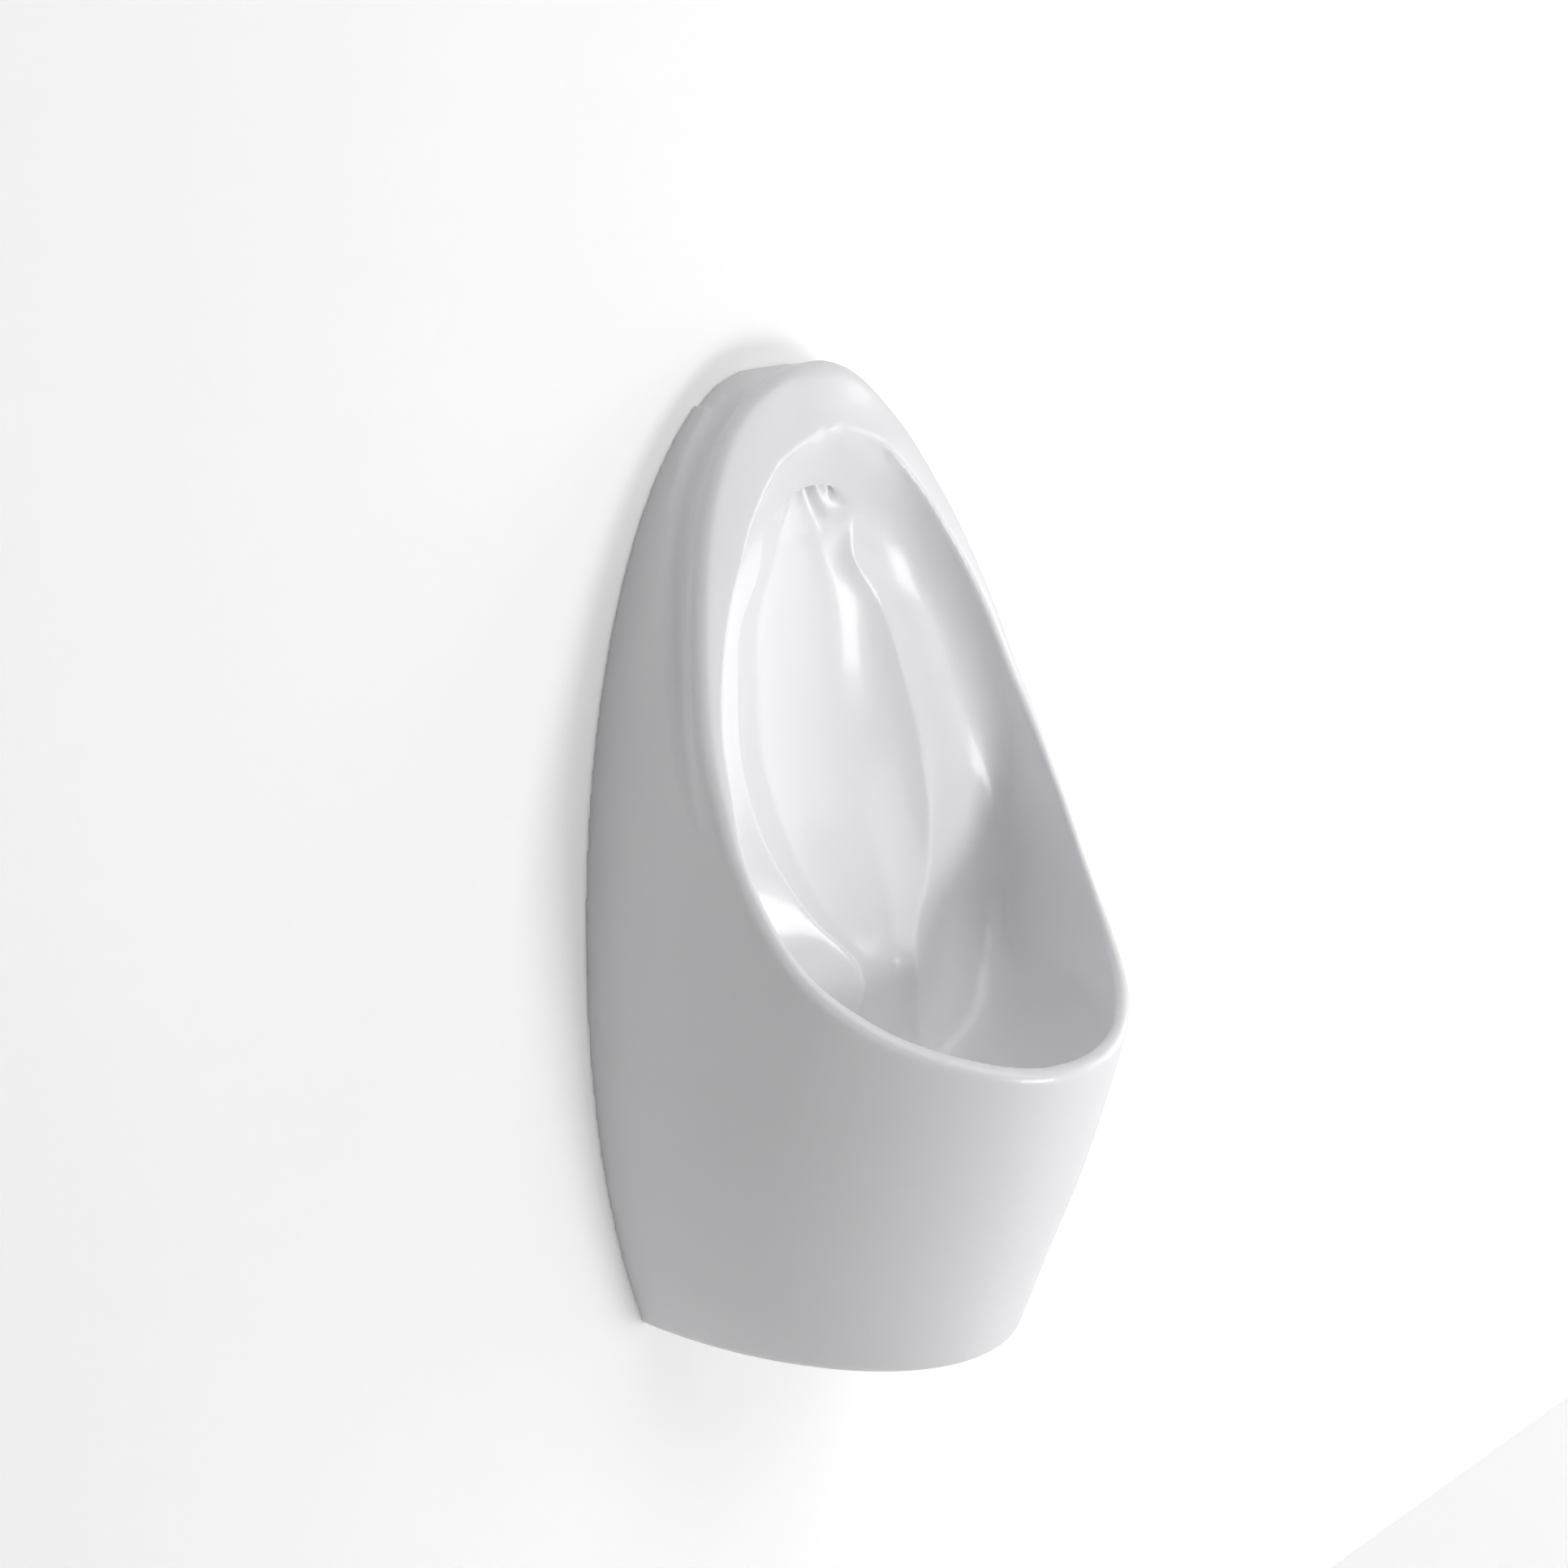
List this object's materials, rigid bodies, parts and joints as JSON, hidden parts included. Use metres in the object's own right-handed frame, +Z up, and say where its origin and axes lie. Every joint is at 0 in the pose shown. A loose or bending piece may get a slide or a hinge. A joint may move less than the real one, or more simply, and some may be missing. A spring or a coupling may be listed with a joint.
{
  "type": "wall hung urinal",
  "caption": "White glazed wall hung urinal with hooded bowl, hangers, rear water inlet, spray head, lift-out strainer, waste fitting and bottle trap with outlet to the wall.",
  "frame": {"origin": "middle of the pattern of four wall screws, on the wall plane and the centre line, 455 mm above the body's bottom edge", "axes": "+X to the right seen from the front, +Y into the wall, +Z up"},
  "size_m": [0.35, 0.2801, 0.6563],
  "materials": {
    "china": "gloss white glaze",
    "steel": "zinc plated",
    "brass": "turned",
    "chrome": "polished",
    "rubber": "matt",
    "plastic": "white moulded"
  },
  "bodies": {
    "urinal": {"ceramic_body": "china", "inlet_tail": "brass", "inlet_gasket": "rubber", "spray_gasket": "rubber", "spray_nut": "brass", "spray_head": "chrome", "waste_flange": "chrome", "waste_gasket_upper": "rubber", "waste_gasket_lower": "rubber", "waste_washer": "plastic", "waste_nut": "brass", "trap_body": "plastic", "trap_dip_tube": "plastic", "trap_seal": "rubber", "trap_nut": "plastic", "outlet_pipe": "plastic", "outlet_seal": "rubber", "outlet_nut": "plastic", "hanger_bracket_right": "steel", "hanger_bracket_left": "steel", "hanger_pads": "rubber"},
    "strainer": {"strainer_grid": "chrome"},
    "cup": {"trap_cup": "plastic", "trap_cup_ring": "rubber"}
  },
  "joints": [
    {"name": "strainer_lift", "type": "slide", "parent": "urinal", "child": "strainer", "axis": [0, 0, 1], "range_m": [0, 0.06]},
    {"name": "cup_removal", "type": "slide", "parent": "urinal", "child": "cup", "axis": [0, 0, -1], "range_m": [0, 0.06]}
  ]
}
